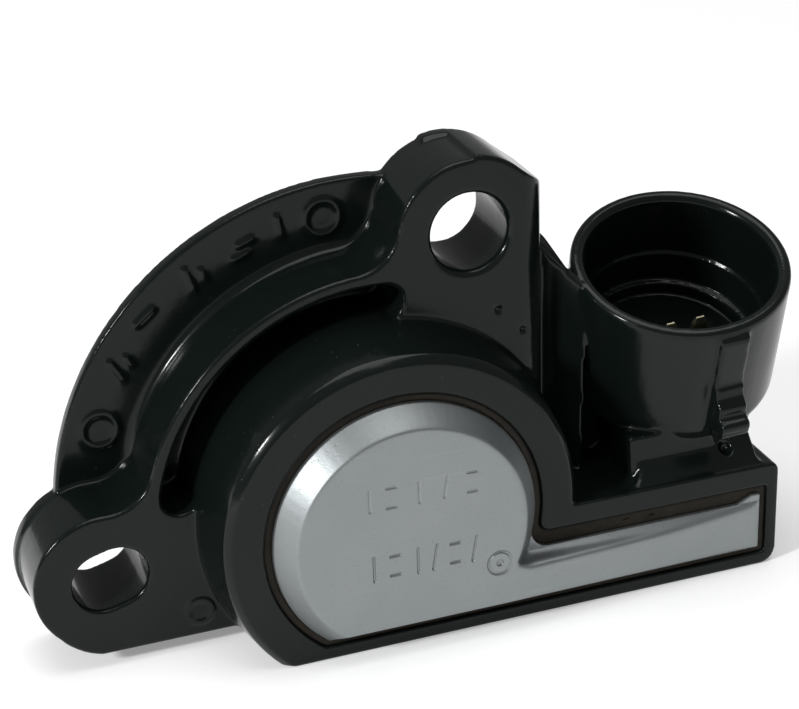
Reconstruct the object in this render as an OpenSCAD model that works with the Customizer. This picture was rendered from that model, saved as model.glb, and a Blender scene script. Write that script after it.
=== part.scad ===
// Throttle position sensor: a rotary sensor that bolts beside a throttle shaft.
// Millimetres, Z up. The origin is where the rotor axis meets the mounting face.
// The mounting face looks to +Y and the metal cover looks to -Y.
// Flat outlines are drawn as x right, y up, and z forward from the mounting face,
// then from_mount() stands them up. The connector leans forward over the cover.

/* [Flange and ears] */
// Outer radius of the thin half-round flange
flange_r = 29.9; // [28:0.1:32]
// Thickness of the thin flange
flange_t = 1.5; // [1:0.1:2.5]
// Thickness of the two ears
ear_t = 8.6; // [7:0.1:10]
// Upper hole centre, to the right of the rotor axis
upper_x = 9.6; // [8:0.1:12]
// Upper hole centre, above the rotor axis
upper_y = 25.4; // [24:0.1:27]
// Lower slot centre, to the right of the rotor axis
lower_x = -26.6; // [-28:0.1:-25]
// Lower slot centre, above the rotor axis
lower_y = -3.0; // [-4:0.1:-2]
// Radius of the upper mounting hole
hole_r = 3.8; // [3:0.05:4.2]
// Half width of the lower slot
slot_r = 2.95; // [2.5:0.05:3.5]
// Half of the travel along the lower slot
slot_half = 0.7; // [0.3:0.1:1.5]
// Chamfer at the front mouth of both holes
hole_chamfer = 0.4; // [0.15:0.05:0.5]
// Outer radius of the ears
ear_r = 7.1; // [6.5:0.1:8]
// Height of the flange's flat bottom edge
flange_bottom = -10.8; // [-11.5:0.1:-10]
// Right side of the upper ear
ear_right = 17.4; // [16:0.1:18]
// Height over the hole centre where the ear's right side meets its chamfer
corner_drop = 3.3; // [2.5:0.1:4]
// Width of the rounded right shoulder of the upper ear
shoulder_w = 2.8; // [2:0.1:3.5]
// Outer radius of the ring wall round the drum
ring_r = 23.0; // [22.5:0.1:24]
// Thickness of the ring wall
ring_w = 1.3; // [1:0.1:1.8]
// Radius where the ring wall turns into an ear
ear_blend = 4.5; // [3:0.5:6]
// Step at the parting line on the upper ear
parting_step = 0.35; // [0.1:0.05:0.4]
// Turn of the lower slot in degrees
slot_turn = 15; // [0:1:25]
// Depth of the moat between ring wall and drum
moat_depth = 6.4; // [4:0.1:7]
// Angle of the moat's upper end round the rotor axis
moat_from = 87; // [84:1:95]
// Angle of the moat's lower end round the rotor axis
moat_to = 168; // [160:1:170]
// Fillet where the ring wall stands on the thin flange
foot_fillet = 1.0; // [0.5:0.1:1.2]

/* [Drum and front block] */
// Drum radius where it leaves the ears
drum_base_r = 18.3; // [17.8:0.1:18.8]
// Drum radius at its front edge
drum_front_r = 17.4; // [17:0.1:17.6]
// Distance from mounting face to front face
drum_front = 15.4; // [14:0.1:17]
// Chamfer round the front edge of the drum
front_chamfer = 0.7; // [0.4:0.1:1.2]
// Height of the block's flat bottom
block_bottom = -12.2; // [-13:0.1:-11.5]
// Height of the block's top ledge
block_top = -1.1; // [-2:0.1:0]
// Right end of the block
block_right = 38.9; // [38:0.1:40]
// Radius on the block's lower right corner
block_round = 1.6; // [0.8:0.1:2.5]
// Radius on the block's upper right corner
ledge_round = 0.8; // [0.5:0.1:1.5]
// Thickness of the web between upper ear and connector
web_t = 5.5; // [4:0.1:6.5]

/* [Connector] */
// Connector mouth's centre, to the right of the rotor axis
conn_x = 31.3; // [30:0.1:32]
// Height of the connector mouth's centre
conn_z = 19.0; // [18:0.1:20]
// Distance of the mouth's centre in front of the mounting face
conn_d = 8.2; // [7.5:0.1:9]
// Forward lean of the connector in degrees
conn_tilt = 19; // [15:0.5:25]
// Sideways lean of the connector in degrees, towards the upper ear
conn_lean = 3.2; // [0:0.1:5]
// Outer radius of the connector shroud
shroud_r = 10.65; // [10:0.05:11]
// Wall thickness of the shroud at its mouth
shroud_wall = 1.45; // [1.2:0.05:1.6]
// Length of the shroud
shroud_len = 14.8; // [13.6:0.1:15.5]
// Depth of the smooth wall that the plug's seal runs on
land_depth = 7.0; // [5:0.5:7]
// Depth from the mouth to the ledge inside
ledge_depth = 10.4; // [9:0.1:11]
// Depth from the mouth to the floor inside
floor_depth = 11.8; // [11.2:0.1:12.5]
// Step of the ledge inwards
ledge_step = 1.1; // [0.6:0.1:1.6]
// Sideways place of the latch from the connector axis
latch_x = 0.8; // [0:0.1:1.5]
// Width of the latch
latch_w = 3.0; // [2.5:0.1:4]
// Reach of the latch's nose out of the shroud
latch_reach = 3.2; // [2:0.1:3.5]
// Middle of the neck under the connector, to the right of the rotor axis
neck_x = 30.8; // [30:0.1:32]

/* [Cover] */
// Radius of the cover's round edge
cover_r = 12.9; // [12.6:0.1:13.2]
// Height of the cover's straight bottom edge
cover_bottom = -10.1; // [-10.4:0.1:-9.8]
// Top of the cover's strip
strip_top = -4.9; // [-5.2:0.1:-4.6]
// Right end of the strip
strip_right = 36.9; // [36.4:0.1:37.2]
// Sheet thickness of the cover
sheet_t = 0.8; // [0.6:0.1:1]
// Rise of the round field above the edge
field_rise = 2.2; // [1.5:0.1:2.6]
// Width of the slope round the field
field_slope = 1.7; // [1.2:0.1:2.2]
// Width of the slope along the cover's straight bottom edge
bottom_slope = 1.3; // [1:0.1:2]
// Gap between cover edge and pocket wall
pocket_gap = 0.75; // [0.5:0.05:1]
// Gap between the strip's top edge and the pocket wall
strip_gap = 1.5; // [1:0.1:1.8]
// Radius in the inner corner between field and strip
cover_corner = 1.8; // [1.5:0.1:2.2]

/* [Rotor and contacts] */
// Radius of the rotor journal in the housing
journal_r = 7.4; // [7:0.1:7.6]
// Running clearance on the journal's radius
journal_clear = 0.05; // [0.02:0.01:0.09]
// Radius of the drive socket
socket_r = 4.0; // [3.5:0.1:4.5]
// Distance from axis to the socket's flat
socket_flat = 2.6; // [2:0.1:3]
// Depth of the drive socket
socket_depth = 8.0; // [6:0.5:8.5]
// Thickness of the resistor card
card_t = 0.6; // [0.5:0.1:0.7]
// Spring wire radius
wire_r = 0.4; // [0.3:0.05:0.45]
// Turns in the return spring
spring_turns = 2.75; // [2.25:0.5:3.25]

/* [Terminals] */
// Distance between terminals
terminal_pitch = 3.2; // [2.8:0.1:3.6]
// Width of a terminal blade
blade_w = 1.5; // [1.2:0.1:1.8]
// Thickness of a terminal blade
blade_t = 0.64; // [0.5:0.02:0.8]

/* [Hidden] */
// Clearance round pieces that sit still in the housing
seat = 0.03;
// Gap between pieces that move past each other
gap = 0.35;
// Fineness of large and small round shapes
big_fn = 96;
mid_fn = 48;
small_fn = 24;
// Overshoot of cutting shapes
eps = 0.02;
// Outer circle of the lower ear, and the parting line of the upper one
lower_centre = [lower_x - 0.25, lower_y - 0.35];
parting_x = 0.6;
// Neck under the shroud
neck_half = 6.15;
neck_front = 9.5;
neck_back = 7.6;
neck_inset = 0.3;
neck_fillet = 2.2;
neck_small_fillet = 0.8;
pit_r = 0.6;
pit_depth = 1.0;
// Latch, as distances out of the shroud and down from its mouth
rail_rise = 0.5;
rail_start = 0.9;
rail_end = 6.8;
rib_r = 0.6;
nose_drop = 11.4;
latch_end = 12.9;
// Small roundings
shroud_round = 1.8;
land_step = 0.4;
lip_round = 0.5;
pocket_round = 0.6;
tab_w = 2.4;
tab_rise = 0.7;
// Levels forward of the mounting face
floor_d = 3.2;
cover_edge_d = drum_front - 0.8;
seal_t = 0.5;
pocket_d = cover_edge_d - seal_t;
card_back = pocket_d - card_t - 0.75;
cavity_r = 11.6;
card_r = 12.15;
card_hole_r = 3.0;
card_tail_top = -6.0;
card_tail_bottom = -9.4;
card_tail_right = 36.0;
card_bottom = -10.6;
// Levels on the rotor
journal_back = 0.3;
disc_back = floor_d + gap;
disc_t = 1.5;
disc_r = 9.0;
lug_r = 11.2;
lug_w = 3.0;
lug_angle = 200;
hub_r = 5.2;
carrier_back = 9.6;
carrier_t = 1.4;
carrier_r = 6.1;
pivot_r = 2.4;
// Wiper strip
wiper_t = 0.25;
arm_reach = 4.0;
wiper_tip_d = card_back - gap - 0.02;
// Spring coil
coil_r = 6.9;
coil_start = 6.0;
coil_pitch = 1.05;
leg_angle = 40;
leg_end_r = 10.6;
leg_seat_r = 4.0;
// Travel of the rotor between its stops
travel = 90;
stop_play = 2;
// Seal behind the rotor
seal_pocket_r = 10.4;
seal_pocket_d = 1.7;
// Terminal path
terminal_top = -8.4;
terminal_turn = -20;
tail_z = (card_tail_top + card_tail_bottom) / 2;

// Stand a flat outline up: x stays, y goes up, z comes forward.
module from_mount() {
  rotate([90, 0, 0]) children();
}

// Work at the connector mouth: z leaves the mouth, -y is its front side.
module at_connector() {
  translate([conn_x, -conn_d, conn_z]) rotate([conn_tilt, 0, 0]) rotate([0, -conn_lean, 0]) children();
}

// Place in the part of a point that lies a to the right of the connector axis and b along it
function from_connector(a, b) =
  let (up = a * sin(conn_lean) + b * cos(conn_lean))
  [conn_x + a * cos(conn_lean) - b * sin(conn_lean), -conn_d - up * sin(conn_tilt), conn_z + up * cos(conn_tilt)];

// Filled corner between two touching circles, left open by a circle of radius b.
// side is 1 where the corner is to the left of the line from the first to the second.
module blend_2d(c1, r1, c2, r2, b, side) {
  d = c2 - c1;
  dist = norm(d);
  along = ((r1 + b) * (r1 + b) - (r2 + b) * (r2 + b) + dist * dist) / (2 * dist);
  off = side * sqrt((r1 + b) * (r1 + b) - along * along);
  u = d / dist;
  centre = c1 + along * u + off * [-u[1], u[0]];
  difference() {
    polygon([c1, c2, centre]);
    translate(centre) circle(r = b + eps, $fn = mid_fn);
  }
}

// Round field with a strip to the right, a flat bottom and one rounded inner corner
module keyhole_2d(r, right, bottom, top, corner) {
  corner_x = sqrt((r + corner) * (r + corner) - (top + corner) * (top + corner));
  intersection() {
    union() {
      circle(r = r, $fn = big_fn);
      translate([0, bottom]) square([right, top - bottom]);
      difference() {
        polygon([[0, 0], [0, top], [corner_x, top], [corner_x, top + corner]]);
        translate([corner_x, top + corner]) circle(r = corner, $fn = mid_fn);
      }
    }
    translate([-r - 1, bottom]) square([r + 2 + right, r - bottom + 1]);
  }
}

// Outline of the upper ear, which has a chamfered corner and stands a step prouder right of its parting line
module upper_ear_2d() {
  proud_r = ear_r + parting_step;
  translate([upper_x, upper_y]) circle(r = ear_r, $fn = big_fn);
  proud_side_2d(parting_x);
  polygon([[upper_x, 0], [ear_right, 0], [ear_right, upper_y + corner_drop], [upper_x + (proud_r - 0.05) * cos(52), upper_y + (proud_r - 0.05) * sin(52)], [upper_x, upper_y]]);
}

// Prouder side of the upper ear, from a place near its hole centre to the right
module proud_side_2d(from) {
  translate([upper_x, upper_y]) intersection() {
    circle(r = ear_r + parting_step, $fn = big_fn);
    translate([from, 0]) square([ear_right - upper_x - from, 2 * ear_r]);
  }
}

// Outline of the lower ear, a little fuller towards its lower left than its slot
module lower_ear_2d() {
  fuller = [lower_x + 0.4, lower_y - 0.95];
  translate(lower_centre) circle(r = ear_r - 0.1, $fn = big_fn);
  translate(fuller) circle(r = ear_r, $fn = big_fn);
  translate([fuller[0], flange_bottom]) square([-fuller[0], -flange_bottom]);
}

// Outline of ears, ring wall and all that is inside them
module ears_2d() {
  intersection() {
    union() {
      circle(r = ring_r, $fn = big_fn);
      upper_ear_2d();
      lower_ear_2d();
      blend_2d([0, 0], ring_r, [upper_x, upper_y], ear_r, ear_blend, 1);
      blend_2d([0, 0], ring_r, lower_centre, ear_r - 0.1, ear_blend, -1);
    }
    translate([-60, flange_bottom]) square([60 + ear_right, 80]);
  }
}

// Outline of the thin flange, whose edge shows as a step at the top of the upper ear and round the lower one
module flange_2d() {
  ears_2d();
  proud_side_2d(-2);
  intersection() {
    translate([lower_x - 0.35, lower_y - 0.6]) circle(r = ear_r + 0.15, $fn = big_fn);
    translate([-60, flange_bottom]) square([60, 80]);
  }
  intersection() {
    circle(r = flange_r, $fn = 144);
    translate([-60, flange_bottom]) square([60 + upper_x, 80]);
  }
}

// Flat-bottomed outline of the block that carries the strip
module block_2d() {
  translate([0, block_bottom]) square([block_right - block_round, block_top - block_bottom - ledge_round]);
  translate([0, block_bottom + block_round]) square([block_right - ledge_round, block_top - block_bottom - block_round]);
  translate([block_right - block_round - 1, block_bottom + block_round]) square([block_round + 1, block_top - block_bottom - block_round - ledge_round]);
  translate([block_right - block_round, block_bottom + block_round]) circle(r = block_round, $fn = mid_fn);
  translate([block_right - ledge_round, block_top - ledge_round]) circle(r = ledge_round, $fn = mid_fn);
}

// Outline of the cover with its strip, which widens into a small tab at its right end
module cover_2d(grow = 0) {
  keyhole_2d(cover_r + grow, strip_right + grow, cover_bottom - grow, strip_top + grow, cover_corner - grow);
  top = strip_top + tab_rise + grow;
  end = strip_right + grow - eps;
  difference() {
    translate([end - tab_w, strip_top - 2]) square([tab_w, 2 + tab_rise + grow]);
    polygon([[end - tab_w - 1, strip_top + grow - 0.5], [end - tab_w * 0.35, top + eps], [end - tab_w - 1, top + eps]]);
  }
}

// Outline of the pocket that the cover lies in
module pocket_2d(grow = 0) {
  g = pocket_gap + grow;
  keyhole_2d(cover_r + g, strip_right + g, cover_bottom - g, strip_top + strip_gap + grow, cover_corner - g);
}

// Outline of the resistor card with its tail to the terminals
module card_2d(grow = 0) {
  intersection() {
    circle(r = card_r + grow, $fn = big_fn);
    translate([-20, card_bottom - grow]) square([40, 40]);
  }
  translate([0, card_tail_bottom - grow]) square([card_tail_right + grow, card_tail_top - card_tail_bottom + 2 * grow]);
}

// Sector between two angles, for cutting rings
module sector_2d(r, from, to) {
  steps = 12;
  polygon(concat([[0, 0]], [for (i = [0:steps]) let (a = from + (to - from) * i / steps) r * [cos(a), sin(a)]]));
}

// Round upper hole and lower slot, with small chamfers at the upper mouth
module mounting_holes() {
  from_mount() {
    translate([upper_x, upper_y, -1]) cylinder(r = hole_r, h = ear_t + 2, $fn = mid_fn);
    translate([upper_x, upper_y, ear_t - hole_chamfer]) cylinder(r1 = hole_r, r2 = hole_r + hole_chamfer + eps, h = hole_chamfer + eps, $fn = mid_fn);
    translate([lower_x, lower_y, -1]) rotate(slot_turn) linear_extrude(ear_t + 2) {
      for (side = [-1, 1]) translate([side * slot_half, 0]) circle(r = slot_r, $fn = mid_fn);
      translate([-slot_half, -slot_r]) square([2 * slot_half, 2 * slot_r]);
    }
  }
}

// Rounded shoulder on the right side of the upper ear
module shoulder_cut() {
  from_mount() translate([ear_right, 0, ear_t]) rotate([-90, 0, 0]) linear_extrude(60) difference() {
    translate([-shoulder_w, -shoulder_w * 0.01 - eps]) square([shoulder_w + 1, shoulder_w + eps]);
    translate([-shoulder_w, shoulder_w]) circle(r = shoulder_w, $fn = mid_fn);
  }
}

// Thin flange, ears and ring wall
module flange_body() {
  from_mount() {
    linear_extrude(flange_t) flange_2d();
    difference() {
      linear_extrude(ear_t) ears_2d();
      translate([0, 0, ear_t - moat_depth]) linear_extrude(moat_depth + 1) moat_2d();
    }
    rotate(moat_from - 7) rotate_extrude(angle = moat_to - moat_from + 14, $fn = big_fn) translate([ring_r, flange_t]) foot_profile(foot_fillet);
  }
}

// Moat outline with round ends; the drum fills its inner side
module moat_2d() {
  outer = ring_r - ring_w;
  end_r = (outer - drum_base_r) / 2 + 0.1;
  intersection() {
    circle(r = outer, $fn = big_fn);
    sector_2d(40, moat_from, moat_to);
  }
  for (a = [moat_from, moat_to]) rotate(a) translate([outer - end_r - eps, 0]) circle(r = end_r, $fn = mid_fn);
}

// Concave fillet between a wall at x = 0 and a floor at y = 0
module foot_profile(r) {
  polygon(concat([[-0.4, r], [-0.4, -0.4], [r, -0.4]], [for (a = [0:15:90]) [r - r * sin(a), r - r * cos(a)]]));
}

// Drum with drafted side and chamfered front edge, cut flat below
module drum_body() {
  intersection() {
    rotate([90, 0, 0]) rotate_extrude($fn = big_fn) polygon([[0, 0], [drum_base_r, 0], [drum_base_r, ear_t],
      [drum_front_r, drum_front - front_chamfer], [drum_front_r - front_chamfer, drum_front], [0, drum_front]]);
    translate([-30, -30, block_bottom]) cube([60, 40, 60]);
  }
}

// Block to the right of the drum
module block_body() {
  from_mount() linear_extrude(drum_front) block_2d();
}

// Web from the upper ear to the connector
module web_body() {
  from_mount() linear_extrude(web_t) polygon([[12, 23], [ear_right, upper_y - 1.9], [ear_right + 1, upper_y - 3.1], [20.9, 18.4],
    [21.6, 16], [24, 8], [24, block_top - 1], [12, block_top - 1]]);
}

// Neck that carries the shroud on the block: its side view crossed with its front view
module neck_body() {
  s = sin(conn_tilt);
  c = cos(conn_tilt);
  front = [-conn_d + shroud_len * s - neck_front * c, conn_z - shroud_len * c - neck_front * s];
  back = [-conn_d + shroud_len * s + neck_back * c, conn_z - shroud_len * c + neck_back * s];
  foot = -drum_front + neck_inset;
  up = [-s, c];
  difference() {
    intersection() {
      translate([neck_x - 2 * neck_half, 0, 0]) rotate([90, 0, 90]) linear_extrude(4 * neck_half)
        polygon([front, [foot, block_top], [foot, block_top - 1], [0, block_top - 1], back, back + up, front + up]);
      translate([0, 2 * neck_half, 0]) from_mount() linear_extrude(6 * neck_half) neck_2d();
    }
    translate([neck_x + neck_half / 2, foot - 1, block_top + 1.7]) rotate([-90, 0, 0]) cylinder(r = pit_r, h = 2.3 + pit_depth, $fn = small_fn);
  }
}

// Front view of the neck, with a wide fillet at its left foot and a small one at its right
module neck_2d() {
  left = neck_x - neck_half;
  right = neck_x + neck_half;
  translate([left, block_top - 1]) square([2 * neck_half, conn_z - block_top]);
  difference() {
    translate([left - neck_fillet, block_top - 1]) square([neck_fillet + 1, neck_fillet + 1]);
    translate([left - neck_fillet, block_top + neck_fillet]) circle(r = neck_fillet + 0.05, $fn = mid_fn);
  }
  difference() {
    translate([right - 1, block_top - 1]) square([neck_small_fillet + 1, neck_small_fillet + 1]);
    translate([right + neck_small_fillet, block_top + neck_small_fillet]) circle(r = neck_small_fillet + 0.03, $fn = mid_fn);
  }
}

// Round shroud with a soft lower edge and a rounded lip
module shroud_solid() {
  at_connector() rotate_extrude($fn = big_fn) polygon(concat(
    [[0, -shroud_len], [shroud_r - shroud_round, -shroud_len]],
    [for (a = [-75:15:0]) [shroud_r - shroud_round + shroud_round * cos(a), -shroud_len + shroud_round + shroud_round * sin(a)]],
    [for (a = [0:30:90]) [shroud_r - lip_round + lip_round * cos(a), -lip_round + lip_round * sin(a)]],
    [[0, 0]]));
}

// Space inside the shroud, with a flared lip, a wall for the plug's seal, a ledge and a floor
module shroud_bore() {
  bore_r = shroud_r - shroud_wall;
  at_connector() {
    translate([0, 0, -land_depth]) cylinder(r = bore_r, h = land_depth + 1, $fn = big_fn);
    translate([0, 0, -ledge_depth]) cylinder(r = bore_r - land_step, h = ledge_depth, $fn = big_fn);
    translate([0, 0, -lip_round]) cylinder(r1 = bore_r, r2 = bore_r + lip_round, h = lip_round + eps, $fn = big_fn);
    translate([0, 0, -floor_depth]) cylinder(r = bore_r - ledge_step, h = floor_depth, $fn = big_fn);
  }
}

// Latch on the front of the shroud: a flat rail, then a ramp with three ribs that ends in a nose
module latch_body() {
  rail = -shroud_r - rail_rise;
  nose = -shroud_r - latch_reach;
  at_connector() translate([latch_x - latch_w / 2, 0, 0]) rotate([90, 0, 90]) linear_extrude(latch_w) {
    polygon([[-shroud_r + 1, -rail_start], [rail + 0.3, -rail_start], [rail, -rail_start - 0.3], [rail, -rail_end], [nose + rib_r, -nose_drop + 2 * rib_r],
      [nose, -nose_drop + rib_r], [nose + 0.2, -nose_drop], [-shroud_r, -latch_end + 0.3], [-shroud_r + 1, -latch_end]]);
    for (i = [0:2]) translate([rail + (nose - rail) * (i + 0.4) / 2.4 + rib_r, -rail_end + (rail_end - nose_drop + 2 * rib_r) * (i + 0.4) / 2.4])
      circle(r = rib_r, $fn = small_fn);
  }
}

// Everything hollow in front: cover pocket, card seat and rotor space
module front_hollow() {
  from_mount() {
    translate([0, 0, pocket_d]) linear_extrude(10) pocket_2d();
    for (i = [1:3]) translate([0, 0, drum_front - pocket_round * cos(30 * i - 15)]) linear_extrude(2) pocket_2d(pocket_round * (1 - cos(30 * i - 15)) * 0.8);
    translate([0, 0, card_back]) linear_extrude(10) card_2d(seat);
    difference() {
      translate([0, 0, floor_d]) cylinder(r = cavity_r, h = 10, $fn = big_fn);
      stops();
    }
    translate([0, 0, -1]) cylinder(r = journal_r + journal_clear, h = 10, $fn = big_fn);
    translate([0, 0, -1]) cylinder(r = seal_pocket_r, h = 1 + seal_pocket_d, $fn = big_fn);
  }
}

// Two stops for the rotor lug and the post that holds the spring's outer leg
module stops() {
  half = asin(lug_w / 2 / lug_r);
  translate([0, 0, floor_d - 1]) linear_extrude(1 + gap + disc_t + 0.6) difference() {
    union() {
      sector_2d(cavity_r + 1, lug_angle - half - stop_play - 12, lug_angle - half - stop_play);
      sector_2d(cavity_r + 1, lug_angle + travel + half + stop_play, lug_angle + travel + half + stop_play + 12);
    }
    circle(r = disc_r + gap, $fn = mid_fn);
  }
  translate([0, 0, floor_d - 1]) linear_extrude(coil_start + spring_turns * coil_pitch + 2 - floor_d) difference() {
    sector_2d(cavity_r + 1, leg_angle + 3, leg_angle + 11);
    circle(r = disc_r + gap, $fn = mid_fn);
  }
}

// Ways for the terminals, a little larger than the terminals
module terminal_ways() {
  for (i = [-1:1]) terminal(i, seat, 0.2);
}

// One terminal: blade in the shroud, a leg down and a foot forward
module terminal(i, grow = 0, over = 0) {
  w = blade_w + 2 * grow;
  t = blade_t + 2 * grow;
  bend = from_connector(i * terminal_pitch, terminal_turn);
  at_connector() translate([i * terminal_pitch, 0, 0]) {
    translate([-w / 2, -t / 2, terminal_turn]) cube([w, t, terminal_top - terminal_turn - 0.8]);
    if (grow == 0) translate([0, 0, terminal_top - 0.8]) linear_extrude(0.8, scale = [0.6, 0.4]) square([w, t], center = true);
  }
  translate([bend[0] - w / 2, bend[1] - t / 2, tail_z - t / 2]) cube([w, t, bend[2] - tail_z + t]);
  translate([bend[0] - w / 2, -card_back + seat - over, tail_z - t / 2]) cube([w, card_back - seat + bend[1] + t / 2 + over, t]);
}

// Moulded body of the sensor, all in one piece
module housing() {
  color([0.05, 0.05, 0.06]) difference() {
    union() {
      difference() {
        flange_body();
        shoulder_cut();
      }
      drum_body();
      block_body();
      web_body();
      neck_body();
      shroud_solid();
      latch_body();
    }
    mounting_holes();
    shroud_bore();
    front_hollow();
    terminal_ways();
  }
}

// Formed aluminium cover: edge, round raised field and sloping strip
module cover_plate() {
  color([0.62, 0.63, 0.65]) from_mount() difference() {
    cover_skin(0);
    translate([0, 0, -sheet_t]) cover_skin(1);
  }
}

// Solid under the cover's outer or inner skin
module cover_skin(inner) {
  shrink = inner * (sheet_t - 0.1);
  translate([0, 0, cover_edge_d]) difference() {
    intersection() {
      translate([0, 0, -inner]) linear_extrude(10) cover_2d(-shrink);
      union() {
        translate([0, 0, -inner]) linear_extrude(sheet_t + inner) translate([-20, -20]) square([80, 60]);
        translate([0, 0, sheet_t - eps]) cylinder(r1 = cover_r + eps, r2 = cover_r - field_slope, h = field_rise + eps, $fn = big_fn);
        strip_ramp();
      }
    }
    translate([-20, cover_bottom + shrink, sheet_t]) rotate([90, 0, 90]) linear_extrude(80)
      polygon([[-2, 0.1 - eps], [0.06, 0.1 - eps], [bottom_slope, field_rise + eps], [bottom_slope, 10], [-2, 10]]);
  }
}

// Strip of the cover, which falls gently to the right from the field's height
module strip_ramp() {
  corner_x = cover_r - field_slope;
  end_x = strip_right - 0.8;
  hull() {
    translate([0, cover_bottom - 1, sheet_t - 0.1]) cube([strip_right, strip_top - cover_bottom + 1 - eps, 0.1]);
    for (p = [[0, strip_top - field_slope, field_rise], [corner_x, strip_top - field_slope, field_rise], [end_x, strip_top - 0.4, 0.35]])
      translate([p[0], cover_bottom - 1, sheet_t]) cube([eps, p[1] - cover_bottom + 1, p[2]]);
  }
}

// Sealing bead under and round the cover's edge
module cover_seal() {
  color([0.16, 0.12, 0.10]) from_mount() {
    translate([0, 0, pocket_d]) linear_extrude(seal_t - seat) difference() {
      pocket_2d(-seat);
      card_2d(0.1);
    }
    translate([0, 0, pocket_d]) linear_extrude(seal_t + 0.35) difference() {
      pocket_2d(-seat);
      cover_2d(seat);
    }
  }
}

// Flat card with the resistor tracks, seated round the rotor space
module resistor_card() {
  color([0.55, 0.38, 0.16]) from_mount() translate([0, 0, card_back]) linear_extrude(card_t) difference() {
    card_2d();
    circle(r = card_hole_r, $fn = mid_fn);
  }
}

// Rotor with drive socket, lug and wiper carrier
module rotor() {
  color([0.82, 0.80, 0.74]) from_mount() difference() {
    union() {
      translate([0, 0, journal_back]) cylinder(r = journal_r, h = disc_back - journal_back + eps, $fn = big_fn);
      translate([0, 0, disc_back]) cylinder(r = disc_r, h = disc_t, $fn = big_fn);
      rotate(lug_angle) translate([0, 0, disc_back]) intersection() {
        translate([hub_r + 1, -lug_w / 2, 0]) cube([lug_r - hub_r, lug_w, disc_t]);
        cylinder(r = lug_r, h = disc_t, $fn = big_fn);
      }
      translate([0, 0, disc_back]) cylinder(r = hub_r, h = carrier_back - disc_back + eps, $fn = mid_fn);
      translate([0, 0, carrier_back]) cylinder(r = carrier_r, h = carrier_t, $fn = mid_fn);
      translate([0, 0, carrier_back]) cylinder(r = pivot_r, h = card_back + card_t + 0.5 - carrier_back, $fn = mid_fn);
    }
    translate([0, 0, -1]) linear_extrude(1 + socket_depth) intersection() {
      circle(r = socket_r, $fn = mid_fn);
      translate([-socket_r, -socket_r]) square([2 * socket_r, socket_r + socket_flat]);
    }
    translate([0, 0, -1]) cylinder(r1 = socket_r + 1.6, r2 = socket_r - 0.2, h = 1.8 + journal_back, $fn = mid_fn);
    rotate(leg_angle - 360 * spring_turns) translate([0, 0, coil_start]) rotate([0, 90, 0]) cylinder(r = wire_r + seat, h = 2 * hub_r, $fn = small_fn);
  }
}

// Sprung contact strip on the rotor: a ring with two pairs of raised arms
module wiper() {
  base = carrier_back + carrier_t + seat;
  color([0.80, 0.66, 0.30]) from_mount() {
    translate([0, 0, base]) linear_extrude(wiper_t) difference() {
      circle(r = carrier_r - 0.4, $fn = mid_fn);
      circle(r = pivot_r + seat, $fn = mid_fn);
    }
    for (a = [100, 130]) rotate(a) translate([carrier_r - 1.2, 0, base]) rotate([90, 0, 0]) linear_extrude(0.9, center = true)
      polygon([[0, 0], [1, 0], [arm_reach, wiper_tip_d - base - wiper_t], [arm_reach + 0.6, wiper_tip_d - base - wiper_t - 0.3],
        [arm_reach + 0.7, wiper_tip_d - base - 0.1], [arm_reach, wiper_tip_d - base], [0.9, wiper_t], [0, wiper_t]]);
  }
}

// Round wire along a path that stays close to one plane
module wire(path, r, sides) {
  last = len(path) - 1;
  rings = [for (i = [0:last])
    let (d = path[min(i + 1, last)] - path[max(i - 1, 0)], t = d / norm(d), s = cross([0, 0, 1], t), side = s / norm(s), up = cross(t, side))
    [for (k = [0:sides - 1]) path[i] + r * (cos(360 * k / sides) * side + sin(360 * k / sides) * up)]];
  polyhedron(
    points = [for (ring = rings) for (p = ring) p],
    faces = concat(
      [[for (k = [sides - 1:-1:0]) k]],
      [for (i = [0:last - 1]) for (k = [0:sides - 1]) [i * sides + k, i * sides + (k + 1) % sides, (i + 1) * sides + (k + 1) % sides]],
      [for (i = [0:last - 1]) for (k = [0:sides - 1]) [i * sides + k, (i + 1) * sides + (k + 1) % sides, (i + 1) * sides + k]],
      [[for (k = [0:sides - 1]) last * sides + k]]));
}

// Return spring: a coil with one leg in the rotor and one against the post
module return_spring() {
  first = leg_angle - 360 * spring_turns;
  steps = ceil(spring_turns * 20);
  coil = [for (i = [0:steps]) let (a = first + 360 * spring_turns * i / steps)
    [coil_r * cos(a), coil_r * sin(a), coil_start + coil_pitch * spring_turns * i / steps]];
  start = [leg_seat_r * cos(first), leg_seat_r * sin(first), coil_start];
  finish = [leg_end_r * cos(leg_angle), leg_end_r * sin(leg_angle), coil_start + coil_pitch * spring_turns];
  color([0.55, 0.56, 0.58]) from_mount() wire(concat([start, start * 0.25 + coil[0] * 0.75], coil, [finish]), wire_r, 8);
}

// Rubber ring that keeps dirt out round the throttle shaft
module shaft_seal() {
  inner = journal_r + gap;
  outer = seal_pocket_r - seat;
  thick = seal_pocket_d - seat;
  color([0.10, 0.10, 0.10]) from_mount() rotate_extrude($fn = big_fn) polygon([[inner + 0.4, thick], [outer, thick], [outer, 0.25],
    [outer - 0.6, 0.05], [inner + 1.2, 0.35], [inner, 0.9], [inner, 1.2]]);
}

housing();
cover_plate();
cover_seal();
resistor_card();
rotor();
wiper();
return_spring();
color([0.78, 0.70, 0.42]) terminal(-1);  // terminal_a
color([0.78, 0.70, 0.42]) terminal(0);  // terminal_b
color([0.78, 0.70, 0.42]) terminal(1);  // terminal_c
shaft_seal();
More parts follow.
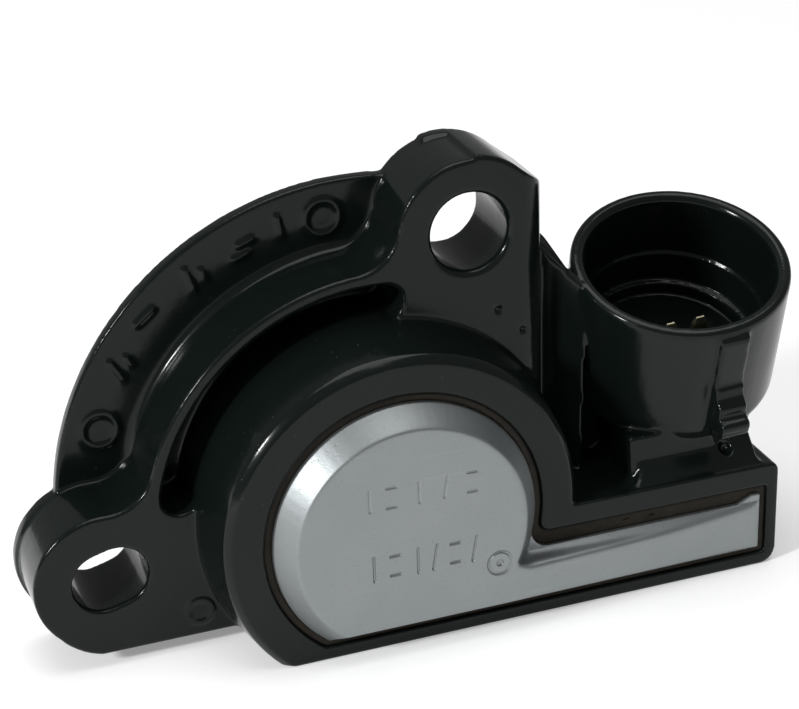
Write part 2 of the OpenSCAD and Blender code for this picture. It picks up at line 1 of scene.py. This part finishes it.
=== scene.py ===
# %% [markdown]
# # A throttle position sensor, dressed for a product shot
# The sensor is screwed to the side of a throttle body and tells the engine how
# far the throttle is open. A black nylon moulding carries a formed aluminium
# cover and a round plug socket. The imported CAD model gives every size, so this
# lesson adds what CAD leaves out: soft moulded edges, stamped marks, a poured
# sealing bead, and finishes that look right under plain studio light.
#
# The model stands with Z up. The mounting face looks to +Y and the cover to -Y,
# and the origin is where the rotor axis meets the mounting face.

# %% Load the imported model
import math
import bpy
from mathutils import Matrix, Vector


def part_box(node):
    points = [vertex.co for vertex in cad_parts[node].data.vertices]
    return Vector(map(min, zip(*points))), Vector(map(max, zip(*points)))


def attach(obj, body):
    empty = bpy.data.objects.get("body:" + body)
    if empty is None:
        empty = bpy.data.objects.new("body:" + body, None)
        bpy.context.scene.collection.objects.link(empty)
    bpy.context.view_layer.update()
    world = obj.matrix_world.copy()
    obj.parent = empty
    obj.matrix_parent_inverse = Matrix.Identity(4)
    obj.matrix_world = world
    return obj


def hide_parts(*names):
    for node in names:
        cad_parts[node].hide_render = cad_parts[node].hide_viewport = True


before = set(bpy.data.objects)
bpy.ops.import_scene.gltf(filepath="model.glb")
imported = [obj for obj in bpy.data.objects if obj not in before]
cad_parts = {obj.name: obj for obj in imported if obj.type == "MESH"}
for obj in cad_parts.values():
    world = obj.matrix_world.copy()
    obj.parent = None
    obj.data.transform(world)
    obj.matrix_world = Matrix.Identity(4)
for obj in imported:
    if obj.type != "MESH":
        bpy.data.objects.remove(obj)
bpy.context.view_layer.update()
MM = 0.001
print("nodes:", sorted(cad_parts))

# %% [markdown]
# ## The camera
# The photograph was taken from close by, a little to the left and from above.
# Its place and lens come from a fit to the edges of the holes, the drum and the
# plug socket, so that the render can be laid over the photograph. Turning a
# camera until it looks right is quicker, but it never matches every edge.

# %% Place the camera
FITTED_LENS_MM = 98.556
FITTED_PLACE = (-0.057955, -0.182313, 0.099986)
FITTED_TURN_DEGREES = (65.0631, 1.8143, -19.9614)

camera_data = bpy.data.cameras.new("photo_camera")
camera_data.sensor_fit = "HORIZONTAL"
camera_data.sensor_width = 36
camera_data.lens = FITTED_LENS_MM
camera_data.clip_start = 0.01
camera = bpy.data.objects.new("photo_camera", camera_data)
camera.location = FITTED_PLACE
camera.rotation_euler = [math.radians(a) for a in FITTED_TURN_DEGREES]
bpy.context.scene.collection.objects.link(camera)
bpy.context.scene.camera = camera
bpy.context.scene.view_settings.view_transform = "Standard"
print("camera at", [round(c, 4) for c in camera.location])

# %% [markdown]
# ## Shader maths in plain Python
# A procedural finish is a graph of small nodes. Wrapping a socket in a class
# that overloads the operators lets a mask be written as an expression, and each
# operator adds its Math node.

# %% Wrap sockets so that they can be added and multiplied
class Field:
    """A number that varies over the surface."""

    def __init__(self, finish, socket):
        self.finish = finish
        self.socket = socket

    def math(self, operation, other, swap=False):
        first, second = (other, self) if swap else (self, other)
        return self.finish.field("ShaderNodeMath", {"operation": operation}, {0: first, 1: second})

    def __add__(self, other):
        return self.math("ADD", other)

    def __sub__(self, other):
        return self.math("SUBTRACT", other)

    def __rsub__(self, other):
        return self.math("SUBTRACT", other, swap=True)

    def __mul__(self, other):
        return self.math("MULTIPLY", other)

    def __pow__(self, other):
        return self.math("POWER", other)

    __radd__ = __add__
    __rmul__ = __mul__

    def ramp(self, low, high):
        """0 below low, 1 above high, and soft in between."""
        sockets = {"Value": self, "From Min": low, "From Max": high}
        settings = {"interpolation_type": "SMOOTHSTEP"}
        return self.finish.field("ShaderNodeMapRange", settings, sockets)


class Finish:
    """One material and short ways to add nodes to it."""

    def __init__(self, name):
        self.material = bpy.data.materials.new(name)
        self.material.use_nodes = True
        self.nodes = self.material.node_tree.nodes
        self.links = self.material.node_tree.links
        self.shader = self.nodes["Principled BSDF"]
        self.place = self.nodes.new("ShaderNodeTexCoord").outputs["Object"]

    def node(self, kind, settings=None, sockets=None):
        made = self.nodes.new(kind)
        for name, value in (settings or {}).items():
            setattr(made, name, value)
        for name, value in (sockets or {}).items():
            self.feed(made.inputs[name], value)
        return made

    def feed(self, socket, value):
        if isinstance(value, Field):
            value = value.socket
        if isinstance(value, bpy.types.NodeSocket):
            self.links.new(value, socket)
        elif isinstance(value, tuple) and len(value) == 3 and socket.type == "RGBA":
            socket.default_value = (*value, 1)
        else:
            socket.default_value = value

    def field(self, kind, settings=None, sockets=None):
        return Field(self, self.node(kind, settings, sockets).outputs[0])

    def stretched(self, scale, turn=(0, 0, 0)):
        """Object coordinates, stretched and turned."""
        sockets = {"Vector": self.place, "Scale": scale, "Rotation": turn}
        return self.node("ShaderNodeMapping", None, sockets).outputs[0]

    def noise(self, size_mm, detail=2, place=None):
        """Soft cloudy noise, about size_mm across."""
        sockets = {"Vector": place or self.place, "Scale": 1 / (size_mm * MM), "Detail": detail}
        return self.field("ShaderNodeTexNoise", None, sockets)

    def cells(self, size_mm):
        """Distance to scattered points, about size_mm apart."""
        sockets = {"Vector": self.place, "Scale": 1 / (size_mm * MM)}
        return self.field("ShaderNodeTexVoronoi", None, sockets)

    def blend(self, factor, first, second):
        """Mix two colours."""
        sockets = {0: factor, 6: first, 7: second}
        return self.node("ShaderNodeMix", {"data_type": "RGBA"}, sockets).outputs[2]

    def bump(self, height, depth_mm, below=None):
        """Normals of a relief that is depth_mm high."""
        sockets = {"Height": height, "Distance": depth_mm * MM, "Strength": 1.0}
        if below is not None:
            sockets["Normal"] = below
        return self.node("ShaderNodeBump", None, sockets).outputs[0]

    def dress(self, **sockets):
        for name, value in sockets.items():
            self.feed(self.shader.inputs[name.replace("_", " ")], value)
        return self.material


print("shader helpers are ready")

# %% [markdown]
# ## Black moulded nylon
# Glass-filled nylon comes out of the mould nearly black and softly glossy. The
# gloss is what the eye sees: it is broken by faint flow patches, by a fine
# grain where fibres lie near the skin, and by small dust specks and rubs.

# %% Finish: nylon
def moulded_nylon():
    nylon = Finish("moulded_nylon")
    deep_black, worn_black = (0.0030, 0.0052, 0.0045), (0.0052, 0.0080, 0.0070)
    grey_dust = (0.14, 0.13, 0.12)
    flow = nylon.noise(7.0, 3, nylon.stretched((1, 1, 0.45), (0.3, 0.2, 0.5)))
    grain = nylon.noise(0.22)
    waves = nylon.noise(2.6)
    specks = 1 - nylon.cells(0.9).ramp(0.03, 0.10)
    dust = specks * nylon.noise(9.0).ramp(0.52, 0.70)
    rub_lines = nylon.stretched((0.12, 1, 1), (0, 0.5, 0.9))
    rubs = nylon.noise(0.5, 2, rub_lines).ramp(0.68, 0.78)
    tone = nylon.blend(flow, deep_black, worn_black)
    tone = nylon.blend(dust * 0.3, tone, grey_dust)
    gloss = 0.10 + flow * 0.08 + grain * 0.04 + rubs * 0.08 + dust * 0.3
    relief = nylon.bump(waves, 0.03)
    relief = nylon.bump(grain, 0.003, relief)
    return nylon.dress(Base_Color=tone, Roughness=gloss, Normal=relief,
                       Specular_IOR_Level=0.21)


nylon = moulded_nylon()
print("made", nylon.name)

# %% [markdown]
# ## Formed aluminium sheet
# The cover is pressed from matt aluminium sheet. Rolling leaves fine lines
# along the strip, pressing leaves tiny pits, and handling adds hairline
# scratches in all directions.

# %% Finish: aluminium
def formed_aluminium():
    sheet = Finish("formed_aluminium")
    dull, bright = (0.235, 0.253, 0.258), (0.300, 0.318, 0.320)
    grain_grey, pit_grey = (0.225, 0.245, 0.25), (0.16, 0.17, 0.17)
    rolled = sheet.noise(0.10, 2, sheet.stretched((0.06, 1, 1), (0, 0.16, 0)))
    pits = (1 - sheet.cells(0.45).ramp(0.05, 0.22)) * sheet.noise(1.6).ramp(0.45, 0.62)
    clouds = sheet.noise(5.0, 3)
    grain = sheet.noise(0.28)
    rising, falling = (sheet.stretched((0.035, 1, 1), (0, 0.9, 0)),
                       sheet.stretched((0.04, 1, 1), (0, -0.5, 0)))
    scratch = sheet.noise(0.35, 1, rising).ramp(0.70, 0.76)
    scratch = scratch + sheet.noise(0.3, 1, falling).ramp(0.71, 0.77)
    tone = sheet.blend(clouds, dull, bright)
    tone = sheet.blend(grain * 0.5, tone, grain_grey)
    tone = sheet.blend(pits * 0.45, tone, pit_grey)
    gloss = 0.38 + clouds * 0.08 + grain * 0.06 - scratch * 0.10 + pits * 0.1
    relief = sheet.bump(rolled * 0.6 + grain * 0.4, 0.010)
    relief = sheet.bump(pits * -1.0 + scratch * -0.6, 0.008, relief)
    return sheet.dress(Base_Color=tone, Metallic=0.9, Roughness=gloss, Normal=relief)


aluminium = formed_aluminium()
print("made", aluminium.name)

# %% [markdown]
# ## Finishes in the pocket and at the back
# The sealing bead shows in the pocket, and the rubber ring and the rotor show
# at the back. Each has a tone that varies and a grain of its own.

# %% Finishes: sealant, rubber and acetal
def poured_sealant():
    bead = Finish("poured_sealant")
    lumps = bead.noise(0.8, 3)
    tone = bead.blend(lumps, (0.005, 0.004, 0.002), (0.017, 0.012, 0.006))
    gloss = 0.38 + bead.noise(1.8) * 0.3
    return bead.dress(Base_Color=tone, Roughness=gloss, Normal=bead.bump(lumps, 0.10),
                      Specular_IOR_Level=0.2)


def black_rubber():
    rubber = Finish("black_rubber")
    grain = rubber.noise(0.18)
    bloom = rubber.noise(3.0, 3).ramp(0.45, 0.75)
    tone = rubber.blend(bloom, (0.012, 0.012, 0.012), (0.035, 0.034, 0.033))
    return rubber.dress(Base_Color=tone, Roughness=0.55 + grain * 0.2,
                        Normal=rubber.bump(grain, 0.02))


def natural_acetal():
    acetal = Finish("natural_acetal")
    clouds = acetal.noise(4.0, 3)
    grain = acetal.noise(0.3)
    tone = acetal.blend(clouds, (0.62, 0.60, 0.53), (0.74, 0.72, 0.66))
    return acetal.dress(Base_Color=tone, Roughness=0.34 + clouds * 0.14,
                        Normal=acetal.bump(grain, 0.012))


sealant, rubber, acetal = poured_sealant(), black_rubber(), natural_acetal()
print("made", [m.name for m in (sealant, rubber, acetal)])

# %% [markdown]
# ## Finishes of the electric pieces
# Metal that was drawn or rolled carries fine lines along its length. The card
# has a woven ground, and its two tracks are rings round the rotor axis.

# %% Finishes: contacts, spring and card
def plated_contact():
    plate = Finish("plated_contact")
    drawn = plate.noise(0.08, 2, plate.stretched((1, 1, 0.08)))
    stain = plate.noise(1.4, 3).ramp(0.5, 0.8)
    tone = plate.blend(stain, (0.50, 0.45, 0.33), (0.36, 0.30, 0.19))
    return plate.dress(Base_Color=tone, Metallic=1.0,
                       Roughness=0.34 + stain * 0.2 + drawn * 0.1,
                       Normal=plate.bump(drawn, 0.004))


def spring_steel():
    steel = Finish("spring_steel")
    drawn = steel.noise(0.05, 2, steel.stretched((1, 1, 0.15)))
    tone = steel.blend(steel.noise(1.5), (0.42, 0.42, 0.43), (0.55, 0.55, 0.56))
    return steel.dress(Base_Color=tone, Metallic=1.0, Roughness=0.28 + drawn * 0.12,
                       Normal=steel.bump(drawn, 0.003))


def printed_card():
    card = Finish("printed_card")
    split = card.node("ShaderNodeSeparateXYZ", None, {0: card.place})
    x, z = Field(card, split.outputs[0]), Field(card, split.outputs[2])
    from_axis = (x * x + z * z) ** 0.5
    outer_track = from_axis.ramp(0.0082, 0.0083) * (1 - from_axis.ramp(0.0100, 0.0101))
    inner_track = from_axis.ramp(0.0057, 0.0058) * (1 - from_axis.ramp(0.0075, 0.0076))
    weave = card.noise(0.4, 2, card.stretched((1, 1, 0.3)))
    tone = card.blend(weave, (0.33, 0.21, 0.09), (0.42, 0.28, 0.13))
    tone = card.blend(outer_track + inner_track, tone, (0.015, 0.015, 0.015))
    return card.dress(Base_Color=tone, Roughness=0.45 + weave * 0.15,
                      Normal=card.bump(weave, 0.02))


contact, steel, laminate = plated_contact(), spring_steel(), printed_card()
print("made", [m.name for m in (contact, steel, laminate)])

# %% [markdown]
# ## Moulded edges
# CAD edges are knife-sharp, and a real moulding has none: every edge is
# rounded and every inner corner is filled a little. A Bevel modifier could
# round the outer edges, but it tangles where many short edges meet, and it
# leaves the inner corners sharp. So a voxel remesh lays one even skin over the
# whole shape, a few smoothing passes round that skin by the same small radius
# everywhere, and thinning then spends the triangles where the form turns. The
# flat faces stay flat.

# %% Helpers for modelling
MERGE_WITHIN = 0.000002


def only(piece):
    """Select and activate one piece, and nothing else."""
    bpy.ops.object.select_all(action="DESELECT")
    piece.select_set(True)
    bpy.context.view_layer.objects.active = piece


def apply_modifier(piece, kind, **settings):
    only(piece)
    modifier = piece.modifiers.new(kind.lower(), kind)
    for name, value in settings.items():
        setattr(modifier, name, value)
    bpy.ops.object.modifier_apply(modifier=modifier.name)


def copy_of(node, name):
    """A merged copy of a CAD node's mesh, free to be shaped."""
    piece = bpy.data.objects.new(name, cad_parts[node].data.copy())
    piece.data.materials.clear()
    bpy.context.scene.collection.objects.link(piece)
    only(piece)
    bpy.ops.object.mode_set(mode="EDIT")
    bpy.ops.mesh.select_all(action="SELECT")
    bpy.ops.mesh.remove_doubles(threshold=MERGE_WITHIN)
    bpy.ops.object.mode_set(mode="OBJECT")
    return piece


def place_in_mm(point):
    """How far a mesh point lies to the right, up, and forward of the mounting face."""
    return point.co.x / MM, point.co.z / MM, -point.co.y / MM


def soften(piece, skin_mm, passes, triangles, extra_passes=0, where=None):
    """One even skin over the piece, rounded by smoothing and thinned.

    A part of the piece can take extra passes, by weights that where() gives.
    """
    apply_modifier(piece, "REMESH", mode="VOXEL", voxel_size=skin_mm * MM)
    skin = len(piece.data.polygons)
    apply_modifier(piece, "SMOOTH", factor=0.5, iterations=passes)
    if where:
        group = piece.vertex_groups.new(name="softer")
        for point in piece.data.vertices:
            weight = where(*place_in_mm(point))
            if weight > 0:
                group.add([point.index], weight, "REPLACE")
        apply_modifier(piece, "SMOOTH", factor=0.5, iterations=extra_passes,
                       vertex_group=group.name)
        piece.vertex_groups.clear()
    apply_modifier(piece, "DECIMATE", ratio=min(1.0, triangles / (2 * skin)))
    only(piece)
    bpy.ops.object.shade_smooth()
    print(piece.name, "skin faces", skin, "kept", len(piece.data.polygons))


def finish_piece(piece, material, body, node):
    """Give the piece its material and its body, and hide the CAD node that it stands for."""
    piece.data.materials.clear()
    piece.data.materials.append(material)
    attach(piece, body)
    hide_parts(node)


print("modelling helpers are ready")

# %% [markdown]
# ## Marks for moulding and stamping
# A mould leaves small raised bars and the rings of its ejector pins, and a
# press leaves short strokes in the metal. They are modelled here as plain
# marks. A bump in the material could draw them too, but it would leave the
# mesh blank, and these marks catch the light along their edges. A place on a
# face that looks to the front is given as millimetres to the right, up, and
# forward of the mounting face.

# %% Helpers that make one mark
BAR_ROUNDING = 0.2
RING_SINK = 0.6
PIN_FOOT = 1.2


def on_front(right, up, forward):
    """The place in Blender's metres of a point given in millimetres."""
    return (right * MM, -forward * MM, up * MM)


def settle(piece):
    """Put the piece's place into its mesh."""
    only(piece)
    bpy.ops.object.transform_apply(location=True, rotation=True, scale=True)
    return piece


def bar(right, up, forward, length, width, depth, turn):
    """A short bar that lies on a front face, turned by so many degrees."""
    bpy.ops.object.select_all(action="DESELECT")
    bpy.ops.mesh.primitive_cube_add(size=1, location=on_front(right, up, forward),
                                    rotation=(0, math.radians(-turn), 0),
                                    scale=(length * MM, depth * MM, width * MM))
    piece = settle(bpy.context.object)
    bpy.ops.object.mode_set(mode="EDIT")
    bpy.ops.mesh.select_all(action="SELECT")
    bpy.ops.mesh.bevel(offset=BAR_ROUNDING * width * MM, segments=2, affect="EDGES")
    bpy.ops.object.mode_set(mode="OBJECT")
    return piece


def ring(right, up, forward, radius, width, depth):
    """A raised ring with a sunken middle, as an ejector pin leaves."""
    bpy.ops.object.select_all(action="DESELECT")
    bpy.ops.mesh.primitive_cylinder_add(vertices=40, radius=radius * MM, depth=depth * MM,
                                        location=on_front(right, up, forward),
                                        rotation=(math.radians(90), 0, 0))
    piece = settle(bpy.context.object)
    bpy.ops.object.mode_set(mode="EDIT")
    bpy.ops.mesh.select_all(action="DESELECT")
    bpy.ops.object.mode_set(mode="OBJECT")
    for face in piece.data.polygons:
        face.select = face.normal.y < -0.9
    bpy.ops.object.mode_set(mode="EDIT")
    bpy.ops.mesh.select_mode(type="FACE")
    bpy.ops.mesh.inset(thickness=width * MM)
    sink = (0, RING_SINK * depth * MM, 0)
    bpy.ops.mesh.extrude_region_move(TRANSFORM_OT_translate={"value": sink})
    bpy.ops.object.mode_set(mode="OBJECT")
    return piece


def pin(right, up, forward, radius, depth):
    """A short pin with a narrower front, for a dimple or a dot."""
    bpy.ops.object.select_all(action="DESELECT")
    bpy.ops.mesh.primitive_cone_add(vertices=24, radius1=PIN_FOOT * radius * MM,
                                    radius2=radius * MM, depth=depth * MM,
                                    location=on_front(right, up, forward),
                                    rotation=(math.radians(-90), 0, 0))
    return settle(bpy.context.object)


print("mark helpers are ready")

# %% [markdown]
# ## Fillers and joining
# Small forms that CAD leaves out, such as the slanted front of a web, start as
# a block whose corners are then shifted. A form that only has to merge is
# joined, because the remesh closes the seam. A form that is cut out, or that
# lies nearly flush, goes through an exact Boolean, because faces left under the
# skin would dent it.

# %% Helpers that shape and combine
def block(right, up, forward):
    """A block that fills three ranges in millimetres."""
    bpy.ops.object.select_all(action="DESELECT")
    middle = [sum(r) / 2 * MM for r in (right, up, forward)]
    size = [(r[1] - r[0]) * MM for r in (right, up, forward)]
    bpy.ops.mesh.primitive_cube_add(size=1, location=(middle[0], -middle[2], middle[1]),
                                    scale=(size[0], size[2], size[1]))
    return settle(bpy.context.object)


def shift_points(piece, step, wanted):
    """Move by step, in millimetres, the points for which wanted(right, up, forward) holds."""
    only(piece)
    bpy.ops.object.mode_set(mode="EDIT")
    bpy.ops.mesh.select_mode(type="VERT")
    bpy.ops.mesh.select_all(action="DESELECT")
    bpy.ops.object.mode_set(mode="OBJECT")
    for point in piece.data.vertices:
        point.select = wanted(*place_in_mm(point))
    bpy.ops.object.mode_set(mode="EDIT")
    bpy.ops.transform.translate(value=[s * MM for s in step])
    bpy.ops.object.mode_set(mode="OBJECT")


def joined(pieces):
    """Join the pieces into the last one."""
    only(pieces[-1])
    for piece in pieces:
        piece.select_set(True)
    bpy.ops.object.join()
    return pieces[-1]


def combine(piece, tools, operation):
    """Sink the tools' shapes into the piece, or grow them on it."""
    tool = joined(tools)
    apply_modifier(piece, "BOOLEAN", operation=operation, solver="EXACT", object=tool,
                   use_self=True)
    bpy.data.objects.remove(tool)


print("shaping helpers are ready")

# %% [markdown]
# ## Marks on the housing
# One moulding carries the thin flange, the two ears, the ring wall, the drum,
# the long block and the plug socket with its latch. Two dimples are sunk into
# an ear. The raised marks are joined to it before the skin is laid, so that
# each one grows out of the flange with a soft foot, as it would in a mould.

# %% Mark the housing
FLANGE, PLATEAU = 1.5, 8.6  # how far forward these two faces lie
DIMPLES = ((12.2, 17.3), (14.7, 14.8))  # right, up
BARS = (  # right, up, length, turn
    (-22.9, 14.6, 2.6, 122), (-21.7, 15.4, 1.4, 122), (-19.9, 19.5, 2.6, 40),
    (-15.4, 22.4, 2.6, 112), (-14.1, 22.7, 1.4, 112), (-10.4, 23.9, 1.8, 22),
    (-9.9, 25.2, 1.8, 22), (-6.6, 26.2, 2.4, 100),
)

housing = copy_of("housing", "moulded_housing")
dimples = [pin(right, up, PLATEAU, radius=0.35, depth=0.6) for right, up in DIMPLES]
combine(housing, dimples, "DIFFERENCE")
marks = [ring(-25.0, 8.9, FLANGE, radius=1.9, width=0.4, depth=0.5),
         ring(-2.4, 26.4, FLANGE, radius=1.9, width=0.4, depth=0.5),
         ring(-18.5, -8.2, PLATEAU, radius=1.4, width=0.35, depth=0.4)]
for right, up, length, turn in BARS:
    marks.append(bar(right, up, FLANGE, length, width=0.5, depth=0.55, turn=turn))
print("marks on the housing:", len(marks))

# %% [markdown]
# ## Web, neck and soft edges
# A web with a slanted front runs from the upper ear to the plug socket, and a
# neck with a flat front carries the socket. Both start as blocks that reach
# well into the housing, so that the skin runs over them without a gap.

# %% Shape and soften the housing
web = block((17.0, 21.4), (-3.0, 20.2), (5.0, 9.0))
shift_points(web, (0, 3.7, 0), lambda right, up, forward: right < 18 and forward > 6)
shift_points(web, (0, 0, 2.3), lambda right, up, forward: right < 18 and up > 8)
shift_points(web, (-0.2, 0, -2.4), lambda right, up, forward: right > 18 and up > 8)
shift_points(web, (-0.9, 0, 0), lambda right, up, forward: right > 18 and up < 8)
neck = block((23.8, 32.8), (-1.8, 3.5), (9.0, 13.6))
shift_points(neck, (0, 0.5, 0), lambda right, up, forward: up > 3 and forward > 10)
housing = joined(marks + [web, neck, housing])
soften(housing, skin_mm=0.16, passes=18, triangles=190000)
finish_piece(housing, nylon, "body", "housing")

# %% [markdown]
# ## The cover's ramp
# The pressed cover has a raised round field that runs out into a strip. On the
# real sheet the field's slope flows into the strip in one curve. A ramp fills
# the strip's upper edge, a small corner piece leads the slope into it, and the
# smoothing later turns both into that curve. Sculpting it by hand would give
# the same form, but not the same one each time.

# %% Shape the cover
cover = copy_of("cover_plate", "pressed_cover")
ramp = block((11.2, 36.1), (-8.7, -5.1), (15.0, 17.61))
shift_points(ramp, (0, 1.85, 0), lambda right, up, forward: right > 30 and forward > 17)
shift_points(ramp, (0, 0, -0.3), lambda right, up, forward: up > -5.5 and forward > 15.5)
shift_points(ramp, (0, 0, -0.4), lambda right, up, forward: right > 30 and up > -6)
corner = block((9.0, 12.0), (-7.2, -4.6), (15.0, 17.61))
shift_points(corner, (0, 0.05, -0.9), lambda right, up, forward: right > 11)
for filler in (ramp, corner):
    combine(cover, [filler], "UNION")
print("cover faces:", len(cover.data.polygons))

# %% [markdown]
# ## Stamped strokes
# Two rows of short strokes are stamped into the field, with a ring and a dot
# beside them. Every third stroke is a pair of short level ones. All are cut
# before the skin is laid, which rounds their edges.

# %% Stamp the cover
FIELD = 17.6  # how far forward the raised field lies
STROKE_WIDTH = 0.28
ROWS = (  # up, places to the right, length, depth
    (4.9, (-4.2, -2.1, 0.6, 3.2, 5.8), 2.4, 0.22),
    (-2.2, (-4.0, -1.9, 0.3, 2.0, 4.0, 5.9), 2.8, 0.36),
)

strokes = []
for up, places, length, depth in ROWS:
    for place, right in enumerate(places):
        if place % 3 == 1:
            strokes += [bar(right, up + side, FIELD, 1.2, STROKE_WIDTH, depth, turn=0)
                        for side in (-1.0, 1.0)]
        else:
            lean = 90 - 10 * (place % 2)
            strokes.append(bar(right, up, FIELD, length, STROKE_WIDTH, depth, turn=lean))
strokes += [ring(8.4, -4.3, FIELD + 0.02, radius=1.3, width=0.24, depth=0.34),
            pin(8.4, -4.3, FIELD, radius=0.3, depth=0.40)]
print("strokes in the cover:", len(strokes))
combine(cover, strokes, "DIFFERENCE")

# %% [markdown]
# ## Soft press lines
# Sheet metal flows round a press line in a wide curve. The strip takes many
# smoothing passes, the field's slope takes fewer, and the stamped marks and the
# rim take none, so that they stay crisp.

# %% Soften the cover
STAMPED_RADIUS = 10.4
RIM = 15.45


def cover_softness(right, up, forward):
    """How much of the extra rounding a point of the cover takes, from 0 to 1."""
    if right < 9.9 and -5.9 < up < 6.6 and math.hypot(right, up) < STAMPED_RADIUS:
        return 0.0
    off_rim = min(1.0, max(0.0, (forward - RIM) / 0.3))
    along_strip = min(1.0, max(0.2, (right - 9.0) / 3.0))
    return off_rim * along_strip


soften(cover, skin_mm=0.08, passes=6, triangles=90000, extra_passes=220, where=cover_softness)
finish_piece(cover, aluminium, "body", "cover_plate")

# %% [markdown]
# ## The sealing bead
# Sealant is poured round the cover and sets with a soft, swollen top. Pushing
# the softened bead outwards along its normals swells it evenly, and it closes
# against the cover and the wall of the pocket.

# %% Pour the bead
BEAD_SWELL = 0.12 * MM

bead = copy_of("cover_seal", "sealing_bead")
soften(bead, skin_mm=0.10, passes=6, triangles=60000)
bpy.ops.object.mode_set(mode="EDIT")
bpy.ops.mesh.select_all(action="SELECT")
bpy.ops.transform.shrink_fatten(value=BEAD_SWELL)
bpy.ops.object.mode_set(mode="OBJECT")
finish_piece(bead, sealant, "body", "cover_seal")

# %% [markdown]
# ## The pieces inside
# The rotor, its rubber ring and the contacts show only through the back and
# the mouth of the socket. They get softened edges too. The card, the wiper and
# the spring keep their CAD shape and take a finish.

# %% Rotor, ring and contacts
INNER_PIECES = (  # node, skin, material, body, slot
    ("rotor", 0.12, acetal, "rotor", "rotor"),
    ("shaft_seal", 0.10, rubber, "body", "seal"),
    ("terminal_a", 0.08, contact, "body", "contact"),
    ("terminal_b", 0.08, contact, "body", "contact"),
    ("terminal_c", 0.08, contact, "body", "contact"),
)
CARRIED_OVER = {"resistor_card": laminate, "wiper": contact, "return_spring": steel}

for node, skin_mm, material, body, slot in INNER_PIECES:
    piece = copy_of(node, "soft_" + node)
    soften(piece, skin_mm, passes=5, triangles=30000)
    finish_piece(piece, material, body, node)

for node, material in CARRIED_OVER.items():
    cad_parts[node].data.materials.clear()
    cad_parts[node].data.materials.append(material)
print("carried over:", list(CARRIED_OVER))

# %% [markdown]
# ## The floor
# The floor is plain and pale, and the white of the picture comes from its own
# colour. It glows faintly for the camera and for mirror-like rays only. More
# lamp power would whiten it too, but it would bleach the sensor. This glow
# lights nothing, and the soft shadow stays.

# %% Lay the floor
FLOOR_GLOW = 0.25

floor_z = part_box("housing")[0].z
bpy.ops.object.select_all(action="DESELECT")
bpy.ops.mesh.primitive_plane_add(size=4.0, location=(0, 0, floor_z))
floor = bpy.context.object
floor.name = "floor"
ground = Finish("pale_floor")
paper = ground.blend(ground.noise(40.0), (0.87, 0.87, 0.87), (0.89, 0.89, 0.89))
ray = ground.node("ShaderNodeLightPath").outputs
camera_ray, glossy_ray = Field(ground, ray["Is Camera Ray"]), Field(ground, ray["Is Glossy Ray"])
seen = (camera_ray + glossy_ray).math("MINIMUM", 1.0)
ground.dress(Base_Color=paper, Roughness=0.9, Emission_Color=seen * FLOOR_GLOW,
             Emission_Strength=1.0)
ground.material.cycles.emission_sampling = "NONE"
floor.data.materials.append(ground.material)
print("floor at", round(floor_z, 4))

# %% [markdown]
# ## The light
# The world is a soft white room that the camera sees at full white. One small
# lamp from the left draws the bright edges, and a large one overhead fills in.

# %% World and lamps
ROOM_LIGHT, ROOM_SEEN = 0.26, 1.0
AIM = Vector((0.005, -0.008, 0.005))

world = bpy.data.worlds.new("soft_room")
bpy.context.scene.world = world
world.use_nodes = True
room = world.node_tree.nodes
rays = room.new("ShaderNodeLightPath")
strength = room.new("ShaderNodeMix")
strength.inputs["A"].default_value = ROOM_LIGHT
strength.inputs["B"].default_value = ROOM_SEEN
world.node_tree.links.new(rays.outputs["Is Camera Ray"], strength.inputs["Factor"])
world.node_tree.links.new(strength.outputs[0], room["Background"].inputs["Strength"])
room["Background"].inputs["Color"].default_value = (1, 1, 1, 1)


def lamp(name, place, width, power):
    """A square soft lamp that looks at the sensor."""
    light = bpy.data.lights.new(name, "AREA")
    light.shape = "SQUARE"
    light.size = width
    light.energy = power
    holder = bpy.data.objects.new(name, light)
    holder.location = place
    holder.rotation_euler = (AIM - Vector(place)).to_track_quat("-Z", "Y").to_euler()
    bpy.context.scene.collection.objects.link(holder)


lamp("key", (-0.415, -0.158, 0.23), width=0.06, power=1.8)
lamp("top", (0.03, 0.03, 0.70), width=0.60, power=3.0)
